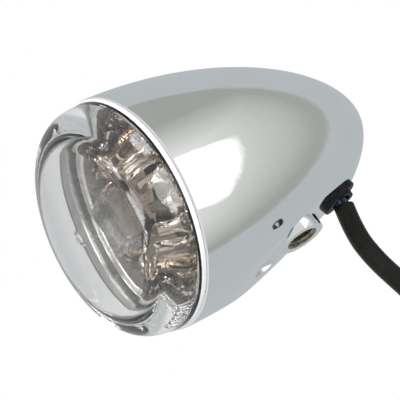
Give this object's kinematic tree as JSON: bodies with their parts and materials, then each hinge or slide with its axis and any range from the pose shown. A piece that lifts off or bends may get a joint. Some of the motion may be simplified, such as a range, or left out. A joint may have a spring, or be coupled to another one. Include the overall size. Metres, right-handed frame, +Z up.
{
  "type": "turn signal indicator",
  "caption": "Bullet-shaped motorcycle turn signal: chrome housing on a threaded boss, clear twist-lock lens over an LED insert, and a sleeved lead with bullet connectors.",
  "frame": {"origin": "centre of the threaded mounting hole, on the face of the boss under the housing", "axes": "+Z up, out of the mounting hole into the housing; -Y is the way the lens faces; +X is the lens's left as seen from behind the nose"},
  "size_m": [0.065, 0.1339, 0.1973],
  "materials": {
    "chrome": "polished chrome plate",
    "brass": "turned brass",
    "clear_lens": "clear polycarbonate",
    "seal_rubber": "pale silicone",
    "circuit_board": "brown circuit board",
    "led_epoxy": "clear epoxy with a warm tint",
    "clear_guide": "clear acrylic",
    "white_plastic": "moulded white",
    "component_body": "lacquered tan",
    "black_plastic": "moulded black",
    "capacitor_can": "drawn can",
    "screw_steel": "zinc plated",
    "black_rubber": "moulded black rubber",
    "violet_wire": "extruded PVC",
    "blue_wire": "extruded PVC",
    "black_wire": "extruded PVC",
    "black_sleeve": "soft black PVC sleeve"
  },
  "bodies": {
    "housing": {"housing": "chrome", "thread_insert": "brass", "led_board": "circuit_board", "leds_outer": "led_epoxy", "leds_inner": "led_epoxy", "light_guide": "clear_guide", "marker_leds": "white_plastic", "resistors": "component_body", "diodes": "black_plastic", "capacitor": "capacitor_can", "regulator": "black_plastic", "led_collar": "chrome", "led_carrier": "white_plastic", "carrier_screws": "screw_steel", "board_screws": "screw_steel", "cable_grommet": "black_rubber", "lead_violet": "violet_wire", "lead_blue": "blue_wire", "lead_black": "black_wire", "cable_sleeve": "black_sleeve", "sleeve_coil": "black_sleeve", "coil_tie": "black_plastic", "sleeve_tail": "black_sleeve", "sleeve_boot": "black_rubber", "tail_violet": "violet_wire", "tail_blue": "blue_wire", "tail_black": "black_wire", "bullet_connectors": "brass"},
    "lens": {"lens": "clear_lens", "rim_seal": "seal_rubber"}
  },
  "joints": [
    {"name": "lens_twist", "type": "hinge", "parent": "housing", "child": "lens", "pos_m": [0, -0.039, 0.0255], "axis": [0, -1, 0], "range_deg": [0, 24]}
  ]
}
